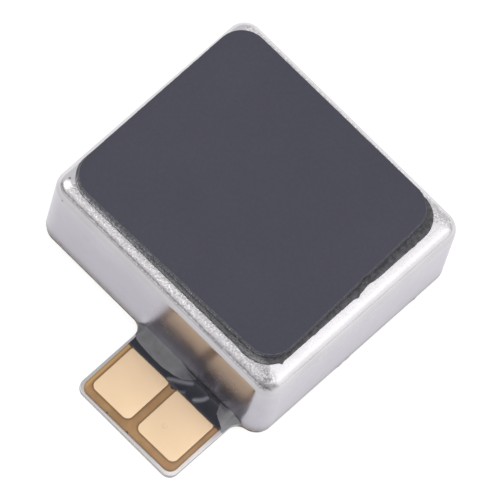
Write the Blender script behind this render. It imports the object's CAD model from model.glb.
import math

import bmesh
import bpy
import numpy as np
from mathutils import Matrix, Vector, noise
from mathutils.geometry import tessellate_polygon


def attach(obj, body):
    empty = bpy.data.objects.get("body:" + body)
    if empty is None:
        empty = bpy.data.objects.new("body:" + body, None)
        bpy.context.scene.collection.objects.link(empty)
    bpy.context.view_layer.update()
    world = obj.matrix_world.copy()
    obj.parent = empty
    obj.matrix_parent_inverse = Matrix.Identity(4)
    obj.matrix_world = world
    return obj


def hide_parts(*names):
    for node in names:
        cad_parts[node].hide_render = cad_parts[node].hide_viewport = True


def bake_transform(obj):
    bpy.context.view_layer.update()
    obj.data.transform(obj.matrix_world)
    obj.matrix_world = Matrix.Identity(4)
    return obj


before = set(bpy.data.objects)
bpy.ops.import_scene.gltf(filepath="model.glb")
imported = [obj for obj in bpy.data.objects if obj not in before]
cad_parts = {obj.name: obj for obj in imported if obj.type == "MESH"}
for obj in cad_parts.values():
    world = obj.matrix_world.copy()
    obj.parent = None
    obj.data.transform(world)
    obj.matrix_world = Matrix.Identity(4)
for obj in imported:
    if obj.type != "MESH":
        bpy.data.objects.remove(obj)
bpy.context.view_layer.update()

MM = 0.001
scene = bpy.context.scene

# ---------------------------------------------------------------- driving sizes, millimetres
CAN_X, CAN_Y, CAN_TOP, CAN_R, CAN_TOP_R, CAN_WALL = 9.0, 8.0, 3.36, 0.59, 0.45, 0.20
SLOT_X0, SLOT_X1, SLOT_TOP = -0.12, 3.67, 0.34
PLATE_T, PLATE_INSET = 0.18, 0.035
TONGUE_X0, TONGUE_X1, TONGUE_Y, TONGUE_R, NECK_R = -0.155, 3.71, -6.717, 0.30, 0.40
Z_GLUE, Z_FILM, Z_COPPER, Z_PAD, Z_COVER = 0.18, 0.20, 0.225, 0.25, 0.28
FPC_X0, FPC_X1, FPC_Y, FPC_R, FPC_DISC_R, FPC_HOLE_R = -0.133, 3.522, -6.656, 0.28, 2.75, 1.40
COVER_Y = -4.68
PAD_L = (0.041, 1.534, -6.393, -4.60)
PAD_R = (1.835, 3.340, -6.384, -4.60)
PAD_R_CORNER = 0.20
TRACK_L, TRACK_R = (0.55, 0.85), (2.15, 2.45)
LAND_L, LAND_R = (0.40, 1.00, -3.25, -2.80), (2.00, 2.60, -3.25, -2.80)
PLATING_T = 0.005
TURN = math.radians(0.8)      # the circuit sits this far round; its sizes are those before that
CEILING = CAN_TOP - CAN_WALL
FILM_CORNERS = [(-4.310, -3.610), (3.955, -3.540), (3.955, 3.690), (-4.330, 3.640)]
FOAM_CORNERS = [(-4.274, -3.600), (3.890, -3.370), (3.650, 3.685), (-4.324, 3.630)]
FOAM_TOP, PATCH_R = 3.64, 0.85


# ---------------------------------------------------------------- small helpers
def turn(x, y, z=0.0):
    return (x * math.cos(TURN) - y * math.sin(TURN), x * math.sin(TURN) + y * math.cos(TURN), z)


def unturn(x, y):
    return x * math.cos(TURN) + y * math.sin(TURN), -x * math.sin(TURN) + y * math.cos(TURN)


def smooth(a, b, x):
    t = min(1.0, max(0.0, (x - a) / (b - a)))
    return t * t * (3 - 2 * t)


def n3(x, y, z, scale, seed=0.0):
    """Smooth noise, about -1 to 1, with features of roughly `scale` millimetres."""
    return noise.noise(Vector((x / scale + seed * 17.3, y / scale - seed * 9.1, z / scale + seed * 4.7)))


def turb(x, y, z, scale, octaves=3, seed=0.0):
    total, amp, norm = 0.0, 1.0, 0.0
    for k in range(octaves):
        total += amp * n3(x, y, z, scale / 2 ** k, seed + k)
        norm += amp
        amp *= 0.6
    return total / norm


def rect(x0, x1, y0, y1, r):
    """Rounded rectangle, counter-clockwise, as lines and arcs."""
    r0, r1, r2, r3 = r if isinstance(r, (tuple, list)) else (r,) * 4
    return [("l", (x0 + r0, y0), (x1 - r1, y0)), ("a", (x1 - r1, y0 + r1), r1, -90, 0),
            ("l", (x1, y0 + r1), (x1, y1 - r2)), ("a", (x1 - r2, y1 - r2), r2, 0, 90),
            ("l", (x1 - r2, y1), (x0 + r3, y1)), ("a", (x0 + r3, y1 - r3), r3, 90, 180),
            ("l", (x0, y1 - r3), (x0, y0 + r0)), ("a", (x0 + r0, y0 + r0), r0, 180, 270)]


def quad(corners, r):
    """Rounded four-sided outline, counter-clockwise, as lines and arcs."""
    out, marks = [], []
    for k in range(4):
        p, q, t = Vector(corners[k - 1]), Vector(corners[k]), Vector(corners[(k + 1) % 4])
        d0, d1 = (q - p).normalized(), (t - q).normalized()
        half = math.acos(max(-1.0, min(1.0, d0.dot(d1)))) / 2
        back = r * math.tan(half)
        a, b = q - d0 * back, q + d1 * back
        centre = a + Vector((-d0.y, d0.x)) * r
        a0 = math.degrees(math.atan2(a.y - centre.y, a.x - centre.x))
        marks.append((tuple(a), tuple(b), tuple(centre), a0, a0 + math.degrees(2 * half)))
    for k in range(4):
        a, b, centre, a0, a1 = marks[k]
        out.append(("a", centre, r, a0, a1))
        out.append(("l", b, marks[(k + 1) % 4][0]))
    return out


def circle(r, centre=(0.0, 0.0), hole=False):
    return [("a", centre, r, 360, 0) if hole else ("a", centre, r, 0, 360)]


def trace(segments, step, arc_step=None, least=6):
    """Points along a closed outline, each with its normal away from the material."""
    out = []
    for s in segments:
        if s[0] == "l":
            (x0, y0), (x1, y1) = s[1], s[2]
            length = math.hypot(x1 - x0, y1 - y0)
            if length < 1e-9:
                continue
            n = max(1, round(length / step))
            for i in range(n):
                t = i / n
                out.append((x0 + (x1 - x0) * t, y0 + (y1 - y0) * t,
                            (y1 - y0) / length, -(x1 - x0) / length))
        else:
            (cx, cy), r, a0, a1 = s[1], s[2], math.radians(s[3]), math.radians(s[4])
            n = max(least, round(abs(a1 - a0) * r / (arc_step or step)))
            way = 1 if a1 > a0 else -1
            for i in range(n):
                a = a0 + (a1 - a0) * i / n
                out.append((cx + r * math.cos(a), cy + r * math.sin(a),
                            way * math.cos(a), way * math.sin(a)))
    return out


def build(name, verts, faces, sharp=35.0):
    """Mesh object from millimetres, closed, with its faces turned outwards."""
    me = bpy.data.meshes.new(name)
    me.from_pydata([(v[0] * MM, v[1] * MM, v[2] * MM) for v in verts], [], faces)
    me.update()
    bm = bmesh.new()
    bm.from_mesh(me)
    bmesh.ops.recalc_face_normals(bm, faces=bm.faces)
    bm.to_mesh(me)
    bm.free()
    me.shade_smooth()
    if sharp > 0:
        me.set_sharp_from_angle(angle=math.radians(sharp))
    ob = bpy.data.objects.new(name, me)
    scene.collection.objects.link(ob)
    return ob


def plate(name, outer, holes, rows, step=0.06, arc_step=None, sharp=35.0, move=None):
    """Flat part with rounded edges. rows are (inset, z) from the bottom face to the top."""
    loops = [trace(outer, step, arc_step)] + [trace(h, step, arc_step) for h in holes]
    verts, faces, ends = [], [], ([], [])
    for loop in loops:
        n = len(loop)
        base = len(verts)
        for inset, z in rows:
            for x, y, nx, ny in loop:
                verts.append([x - nx * inset, y - ny * inset, z])
        for k in range(len(rows) - 1):
            for i in range(n):
                j = (i + 1) % n
                a = base + k * n
                faces.append((a + i, a + j, a + n + j, a + n + i))
        ends[0].append(list(range(base, base + n)))
        ends[1].append(list(range(base + (len(rows) - 1) * n, base + len(rows) * n)))
    for loops_at in ends:
        flat = [i for loop in loops_at for i in loop]
        if len(loops_at) == 1:
            faces.append(tuple(flat))
        else:
            polys = [[Vector((verts[i][0], verts[i][1], 0)) for i in loop] for loop in loops_at]
            for tri in tessellate_polygon(polys):
                faces.append(tuple(flat[i] for i in tri))
    if move:
        verts = [move(*v) for v in verts]
    return build(name, verts, faces, sharp)


def edge_rows(z0, z1, r0, r1, n=4):
    """Rows for a plate's side with rounding r0 at the bottom edge and r1 at the top."""
    rows = []
    for i in range(n + 1):
        a = math.pi / 2 * i / n
        rows.append((r0 * (1 - math.sin(a)), z0 + r0 * (1 - math.cos(a))))
    for i in range(n + 1):
        a = math.pi / 2 * i / n
        rows.append((r1 * (1 - math.cos(a)), z1 - r1 * (1 - math.sin(a))))
    return rows


def lathe(name, profile, n=144, sharp=35.0, centre=(0.0, 0.0)):
    """Closed profile of (radius, z) points turned about the Z axis. A point at radius 0 is a pole."""
    verts, faces, index = [], [], []
    for r, z in profile:
        if r < 1e-9:
            index.append([len(verts)] * n)
            verts.append((centre[0], centre[1], z))
        else:
            index.append(list(range(len(verts), len(verts) + n)))
            for i in range(n):
                a = 2 * math.pi * i / n
                verts.append((centre[0] + r * math.cos(a), centre[1] + r * math.sin(a), z))
    m = len(profile)
    for k in range(m):
        a, b = index[k], index[(k + 1) % m]
        if len(set(a)) == 1 and len(set(b)) == 1:
            continue
        for i in range(n):
            j = (i + 1) % n
            quad = [a[i], a[j], b[j], b[i]]
            face = []
            for q in quad:
                if q not in face:
                    face.append(q)
            if len(face) > 2:
                faces.append(tuple(face))
    return build(name, verts, faces, sharp)


def soft_corner(points, radii, n=4):
    """Closed profile with each corner rounded by its own radius."""
    out = []
    count = len(points)
    for k in range(count):
        p, q, s = Vector(points[k - 1]), Vector(points[k]), Vector(points[(k + 1) % count])
        r = radii[k]
        if r <= 0:
            out.append(tuple(q))
            continue
        d0, d1 = (p - q).normalized(), (s - q).normalized()
        a, b = q + d0 * r, q + d1 * r
        for i in range(n + 1):
            t = i / n
            out.append(tuple(a * (1 - t) ** 2 + q * 2 * t * (1 - t) + b * t ** 2))
    return out


def tube(name, points, r, n=16, sharp=60.0):
    """Round wire along points, with closed ends."""
    pts = [Vector(p) for p in points]
    verts, faces = [], []
    side = Vector((0.3, 0.2, 1.0))
    for i, p in enumerate(pts):
        d = (pts[min(i + 1, len(pts) - 1)] - pts[max(i - 1, 0)]).normalized()
        u = (side - d * side.dot(d)).normalized()
        side = u
        w = d.cross(u)
        for k in range(n):
            a = 2 * math.pi * k / n
            verts.append(p + (u * math.cos(a) + w * math.sin(a)) * r)
    for i in range(len(pts) - 1):
        for k in range(n):
            j = (k + 1) % n
            faces.append((i * n + k, i * n + j, (i + 1) * n + j, (i + 1) * n + k))
    faces.append(tuple(range(n)))
    faces.append(tuple(range((len(pts) - 1) * n, len(pts) * n)))
    return build(name, verts, faces, sharp)


def spline(points, n=12):
    """Catmull-Rom curve through points."""
    p = [Vector(q) for q in points]
    p = [p[0] * 2 - p[1]] + p + [p[-1] * 2 - p[-2]]
    out = []
    for i in range(1, len(p) - 2):
        for k in range(n):
            t = k / n
            out.append(0.5 * ((2 * p[i]) + (p[i + 1] - p[i - 1]) * t
                              + (2 * p[i - 1] - 5 * p[i] + 4 * p[i + 1] - p[i + 2]) * t * t
                              + (3 * p[i] - p[i - 1] - 3 * p[i + 1] + p[i + 2]) * t ** 3))
    out.append(p[-2])
    return out


def join(name, objects, sharp=35.0):
    """One object from several, without moving anything."""
    bm = bmesh.new()
    for o in objects:
        bm.from_mesh(o.data)
        bpy.data.objects.remove(o)
    me = bpy.data.meshes.new(name)
    bm.to_mesh(me)
    bm.free()
    me.shade_smooth()
    me.set_sharp_from_angle(angle=math.radians(sharp))
    ob = bpy.data.objects.new(name, me)
    scene.collection.objects.link(ob)
    return ob


# ---------------------------------------------------------------- materials
class Mat:
    """A small wrapper that keeps node building short."""

    def __init__(self, name):
        self.m = bpy.data.materials.new(name)
        self.m.use_nodes = True
        self.t = self.m.node_tree
        self.t.nodes.clear()
        self.out = self.t.nodes.new("ShaderNodeOutputMaterial")
        self.bsdf = self.t.nodes.new("ShaderNodeBsdfPrincipled")
        self.t.links.new(self.bsdf.outputs[0], self.out.inputs[0])
        self.coord = self.t.nodes.new("ShaderNodeTexCoord").outputs["Object"]
        # noise is sampled in a tilted frame, so that flat faces don't follow its lattice
        self.tilted = self.mapping(rotation=(0.61, 0.37, 0.23), location=(0.0313, 0.0271, 0.0197))

    def put(self, **values):
        for k, v in values.items():
            key = k.replace("_", " ")
            self.link(v, self.bsdf.inputs[key])
        return self

    def link(self, value, socket):
        if isinstance(value, bpy.types.NodeSocket):
            self.t.links.new(value, socket)
        elif isinstance(value, (tuple, list)) and len(value) == 3 and socket.type == "RGBA":
            socket.default_value = (*value, 1.0)
        else:
            socket.default_value = value

    def node(self, kind, inputs=None, out=0, **props):
        n = self.t.nodes.new(kind)
        for k, v in props.items():
            setattr(n, k, v)
        for k, v in (inputs or {}).items():
            self.link(v, n.inputs[k])
        return n.outputs[out]

    def mapping(self, scale=(1, 1, 1), location=(0, 0, 0), rotation=(0, 0, 0)):
        return self.node("ShaderNodeMapping", {"Vector": self.coord, "Scale": scale,
                                               "Location": location, "Rotation": rotation})

    def noise(self, mm, detail=3.0, rough=0.55, distort=0.0, vector=None):
        """Noise with features of about mm millimetres."""
        return self.node("ShaderNodeTexNoise", {"Vector": vector or self.tilted, "Scale": 1.0 / (mm * MM),
                                                "Detail": detail, "Roughness": rough,
                                                "Distortion": distort})

    def voronoi(self, mm, feature="F1", vector=None, randomness=1.0):
        return self.node("ShaderNodeTexVoronoi", {"Vector": vector or self.tilted, "Scale": 1.0 / (mm * MM),
                                                  "Randomness": randomness}, feature=feature)

    def ramp(self, value, stops, interpolation="LINEAR"):
        n = self.t.nodes.new("ShaderNodeValToRGB")
        self.link(value, n.inputs[0])
        n.color_ramp.interpolation = interpolation
        els = n.color_ramp.elements
        while len(els) > 1:
            els.remove(els[0])
        for i, (pos, col) in enumerate(stops):
            e = els[0] if i == 0 else els.new(pos)
            e.position = pos
            e.color = (*col, 1.0) if isinstance(col, (tuple, list)) else (col, col, col, 1.0)
        return n.outputs[0]

    def math(self, op, a, b=None, c=None, clamp=False):
        n = self.t.nodes.new("ShaderNodeMath")
        n.operation = op
        n.use_clamp = clamp
        for i, v in enumerate((a, b, c)):
            if v is not None:
                self.link(v, n.inputs[i])
        return n.outputs[0]

    def map(self, value, a, b, c, d, clamp=True):
        return self.node("ShaderNodeMapRange", {0: value, 1: a, 2: b, 3: c, 4: d}, clamp=clamp)

    def step(self, value, a, b):
        """Smooth rise from 0 at a to 1 at b, or a fall when b is below a."""
        if b < a:
            return self.math("SUBTRACT", 1.0, self.step(value, b, a))
        return self.node("ShaderNodeMapRange", {0: value, 1: a, 2: b, 3: 0.0, 4: 1.0},
                         interpolation_type="SMOOTHSTEP")

    def times(self, *values):
        out = values[0]
        for v in values[1:]:
            out = self.math("MULTIPLY", out, v)
        return out

    def box_distance(self, x, y, x0, x1, y0, y1, r):
        """Signed distance in metres to a rounded rectangle given in millimetres."""
        dx = self.math("SUBTRACT", self.math("ABSOLUTE", self.math("SUBTRACT", x, (x0 + x1) / 2 * MM)),
                       ((x1 - x0) / 2 - r) * MM)
        dy = self.math("SUBTRACT", self.math("ABSOLUTE", self.math("SUBTRACT", y, (y0 + y1) / 2 * MM)),
                       ((y1 - y0) / 2 - r) * MM)
        ox, oy = self.math("MAXIMUM", dx, 0.0), self.math("MAXIMUM", dy, 0.0)
        away = self.math("SQRT", self.math("ADD", self.times(ox, ox), self.times(oy, oy)))
        inner = self.math("MINIMUM", self.math("MAXIMUM", dx, dy), 0.0)
        return self.math("SUBTRACT", self.math("ADD", away, inner), r * MM)

    def mix(self, factor, a, b, blend="MIX"):
        n = self.t.nodes.new("ShaderNodeMix")
        n.data_type = "RGBA"
        n.blend_type = blend
        self.link(factor, n.inputs[0])
        self.link(a, n.inputs[6])
        self.link(b, n.inputs[7])
        return n.outputs[2]

    def value(self, name):
        """A number stored on the mesh's points."""
        return self.node("ShaderNodeAttribute", out=2, attribute_name=name)

    def turned(self, x, y):
        """The circuit's own X and Y."""
        c, n = math.cos(TURN), math.sin(TURN)
        return (self.math("ADD", self.times(x, c), self.times(y, n)),
                self.math("SUBTRACT", self.times(y, c), self.times(x, n)))

    def spot(self, x, y, cx, cy, near, far):
        """1 close to a point given in millimetres, 0 away from it."""
        dx, dy = self.math("SUBTRACT", x, cx * MM), self.math("SUBTRACT", y, cy * MM)
        return self.step(self.math("SQRT", self.math("ADD", self.times(dx, dx), self.times(dy, dy))), far * MM, near * MM)

    def xyz(self):
        n = self.t.nodes.new("ShaderNodeSeparateXYZ")
        self.t.links.new(self.coord, n.inputs[0])
        return n.outputs[0], n.outputs[1], n.outputs[2]

    def bump(self, height, mm, strength=1.0, normal=None):
        """height of 1 stands mm millimetres proud."""
        inputs = {"Strength": strength, "Distance": mm * MM, "Height": height}
        if normal:
            inputs["Normal"] = normal
        return self.node("ShaderNodeBump", inputs)


def steel(name, base, rough=(0.17, 0.30), grain=0.0006, draw=0.0005, tint=0.04, stain=0.0, extra=None):
    """Nickel-plated drawn steel: fine grain, faint draw lines down the walls, soft stains."""
    m = Mat(name)
    cloud = m.noise(1.6, 3)
    fine = m.noise(0.06, 4, 0.7)
    lines = m.noise(0.09, 3, 0.6, vector=m.mapping(scale=(1, 1, 0.06)))
    blotch = m.noise(0.5, 4, 0.65, 0.4)
    light = tuple(min(1.0, c * (1 + tint)) for c in base)
    dark = tuple(c * (1 - tint) for c in base)
    colour = m.mix(m.map(cloud, 0.35, 0.65, 0, 1), dark, light)
    specks = m.map(m.noise(0.055, 2, 0.5), 0.735, 0.78, 0, 0.55)
    colour = m.mix(specks, colour, tuple(c * 0.35 for c in base))
    if stain:
        colour = m.mix(m.map(blotch, 0.58, 0.75, 0, stain), colour, tuple(c * 0.6 for c in base))
    r = m.map(m.math("ADD", m.math("MULTIPLY", cloud, 0.6), m.math("MULTIPLY", blotch, 0.4)),
              0.35, 0.65, rough[0], rough[1])
    b = m.bump(lines, draw)
    b = m.bump(fine, grain, normal=b)
    metal = 1.0
    if extra:
        colour, r, b, metal = extra(m, colour, r, b)
    m.put(Base_Color=colour, Metallic=metal, Roughness=r, Normal=b)
    return m


TONES = {   # how dark the finish is, by height: 0 at the plate, 50 at the foot of the rolled edge, 100 on top
    "front": [(0, 0.66), (2.2, 0.46), (4, 0.52), (7.7, 0.665), (15, 0.70), (33, 0.705), (50, 0.725), (55.6, 0.74),
              (58.3, 0.745), (61, 0.75), (64, 0.77), (66.7, 0.774), (69.4, 0.90), (72.2, 0.86), (75, 0.69),
              (77.8, 0.74), (80.6, 0.70), (83.3, 0.76), (86, 0.80), (89, 0.79), (91.7, 0.76), (94.4, 0.68),
              (97.2, 0.84), (100, 1.0)],
    "right": [(0, 0.46), (1.0, 0.48), (2.2, 0.54), (4, 0.60), (7.7, 0.74), (15, 0.775), (33, 0.80), (50, 0.82), (55.6, 0.86),
              (61, 0.91), (66.7, 0.93), (69.4, 1.02), (72.2, 1.07), (75, 0.96), (77.8, 0.80), (80.6, 0.80),
              (83.3, 0.91), (86, 0.99), (91, 1.07), (94.4, 1.16), (97, 1.20), (100, 1.10)],
    "other": [(0, 0.70), (10, 0.78), (50, 0.80), (75, 1.0), (100, 1.0)]}


def can_details(m, colour, r, b):
    """What drawing, handling and welding left on the can."""
    x, y, z = m.xyz()
    wall = CAN_TOP - CAN_TOP_R
    parts = m.node("ShaderNodeSeparateXYZ", {0: m.node("ShaderNodeNewGeometry", out=1)}).node
    nx, ny = parts.outputs[0], parts.outputs[1]
    level = m.math("SQRT", m.math("ADD", m.math("ADD", m.times(nx, nx), m.times(ny, ny)), 1e-6))
    ax, ay = m.math("DIVIDE", nx, level), m.math("DIVIDE", ny, level)
    front, right = m.step(ay, -0.35, -0.88), m.step(ax, 0.35, 0.88)
    ends = m.step(m.math("ABSOLUTE", ay), 0.35, 0.88)
    # height as 0 at the plate, 50 where the rolled edge starts and 100 on the flat top
    phi = m.math("ARCSINE", m.math("DIVIDE", m.math("SUBTRACT", z, wall * MM), CAN_TOP_R * MM, clamp=True))
    t = m.math("ADD", m.map(z, PLATE_T * MM, wall * MM, 0, 0.5), m.times(phi, 1 / math.pi))

    def tone(key):
        return m.ramp(t, [(q / 100, v / 3) for q, v in TONES[key]])

    shade = m.mix(front, m.mix(right, tone("other"), tone("right")), tone("front"))

    def degrees(lo, hi):
        return m.step(t, 0.5 + lo / 180, 0.5 + hi / 180)

    # crinkled band round the rolled edge of the two long walls
    band = m.times(degrees(46, 55), degrees(86, 78), m.math("ADD", 0.12, m.times(ends, 0.88)))
    dashes = m.noise(0.062, 3, 0.65, 0.6)
    fine = m.noise(0.026, 2, 0.6)
    clumps = m.map(m.noise(0.22, 3, 0.6), 0.35, 0.65, 0.35, 1.0)
    b = m.bump(dashes, 0.014, strength=band, normal=b)
    b = m.bump(fine, 0.0035, strength=band, normal=b)
    pale = m.times(band, clumps, m.step(dashes, 0.50, 0.64))
    colour = m.mix(m.times(pale, 0.75), colour, (1.0, 0.99, 0.97))
    dull = m.times(band, clumps, m.step(dashes, 0.46, 0.34))
    colour = m.mix(m.times(dull, 0.50), colour, (0.22, 0.21, 0.22))
    tint = m.mix(degrees(20, -20), (0.992, 0.990, 0.985), (0.980, 0.955, 1.030))
    colour = m.mix(1.0, m.mix(1.0, colour, tint, "MULTIPLY"), m.mix(1.0, shade, (3.0, 3.0, 3.0), "MULTIPLY"), "MULTIPLY")
    # a thin skin of glue brightens the wall above the circuit
    skin = m.ramp(t, [(q / 100, v / 3) for q, v in ((0, 1.1), (2.5, 1.2), (4.8, 1.85), (6.2, 2.05), (7.7, 2.02), (9.2, 1.90), (10.6, 1.74),
                                                    (12.1, 1.56), (15, 1.26), (18.7, 1.08), (22.3, 1.0), (32, 1.0))])
    over = m.times(front, m.step(x, -0.42 * MM, 0.30 * MM), m.step(x, 3.85 * MM, 3.25 * MM))
    colour = m.mix(over, colour, m.mix(1.0, colour, m.mix(1.0, skin, (3.0, 3.0, 3.0), "MULTIPLY"), "MULTIPLY"))
    # the flat rim beside the pad is dull, most of all towards the circuit's far side
    across = m.ramp(m.map(x, -4 * MM, 4 * MM, 0, 1),
                    [(0.06, 0.33), (0.12, 0.36), (0.18, 0.44), (0.27, 0.34), (0.42, 0.22), (0.61, 0.20), (0.79, 0.15), (0.86, 0.20), (0.93, 0.33), (1.0, 0.33)])
    flat_rim = m.times(m.step(z, 3.315 * MM, 3.330 * MM), m.step(y, -3.605 * MM, -3.540 * MM), m.step(y, -3.20 * MM, -3.30 * MM), 0.8)
    colour = m.mix(flat_rim, colour, m.mix(1.0, colour, m.mix(1.0, across, (3.0, 3.0, 3.0), "MULTIPLY"), "MULTIPLY"))
    # thin irregular line that the die leaves under the band
    line = m.times(front, degrees(36, 44), degrees(53, 47))
    thin = m.map(m.noise(0.09, 4, 0.65), 0.38, 0.60, 0.0, 1.0)
    colour = m.mix(m.times(line, thin, 0.55), colour, (0.085, 0.080, 0.088))
    # dark smudge at the front corner and specks at the left one
    ragged_noise = m.noise(0.075, 3, 0.65)
    rubbed = m.times(front, degrees(46, 53), degrees(72, 60), m.step(x, 1.2 * MM, 3.5 * MM), m.map(ragged_noise, 0.36, 0.58, 1.0, 0.15))
    colour = m.mix(m.times(rubbed, 0.62), colour, (0.17, 0.165, 0.17))
    smudge = m.times(m.spot(x, y, 4.02, -3.66, 0.10, 0.42), degrees(20, 40), m.step(ragged_noise, 0.44, 0.56))
    colour = m.mix(m.times(smudge, 0.65), colour, (0.09, 0.085, 0.09))
    for sx, sy, size, high in ((-4.164, -3.483, 0.034, 9.0), (-3.89, -3.985, 0.036, 3.02)):
        mark = m.times(m.spot(x, y, sx, sy, size * 0.5, size * 1.5), m.step(z, 2.90 * MM, 2.95 * MM), m.step(z, high * MM, (high - 0.04) * MM),
                       m.step(ragged_noise, 0.36, 0.46))
        colour = m.mix(m.times(mark, 0.7), colour, (0.05, 0.05, 0.055))
    # grime where the walls meet the plate
    low = m.step(z, 0.44 * MM, 0.21 * MM)
    dirt = m.map(m.noise(0.13, 4, 0.65), 0.36, 0.58, 0.08, 1.0)
    colour = m.mix(m.times(low, dirt, m.math("ADD", 0.22, m.times(front, 0.50))), colour, (0.15, 0.110, 0.088))
    glint = m.times(m.spot(x, y, -4.08, -3.67, 0.05, 0.19), degrees(48, 58))
    colour = m.mix(m.times(glint, 0.9), colour, (0.99, 0.98, 0.98))
    r = m.math("ADD", m.math("ADD", r, m.times(m.step(t, 0.55, 0.45), 0.07)), m.times(band, 0.03))
    r = m.math("ADD", r, m.times(right, 0.07))
    return colour, r, b, 1.0


def plate_details(m, colour, r, b):
    """The sheared edge of the plate is bare and brown; its faces are plated."""
    x, y, z = m.xyz()
    up = m.node("ShaderNodeSeparateXYZ", {0: m.node("ShaderNodeNewGeometry", out=1)}, out=2)
    side = m.step(m.math("ABSOLUTE", up), 0.75, 0.45)
    under_can = m.step(y, -4.10 * MM, -3.99 * MM)
    right = m.step(x, 4.36 * MM, 4.44 * MM)
    brown = m.mix(m.map(m.noise(0.14, 4, 0.65), 0.3, 0.65, 0, 1), (0.085, 0.060, 0.045), (0.20, 0.155, 0.12))
    grey = m.mix(m.map(m.noise(0.10, 3, 0.6), 0.3, 0.7, 0, 1), (0.30, 0.28, 0.27), (0.42, 0.40, 0.40))
    tone = m.mix(m.math("MAXIMUM", m.math("SUBTRACT", 1.0, under_can), right), brown, grey)
    colour = m.mix(side, colour, tone)
    r = m.math("ADD", r, m.times(side, 0.25))
    metal = m.math("SUBTRACT", 1.0, m.times(side, 0.5))
    return colour, r, b, metal


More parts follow.
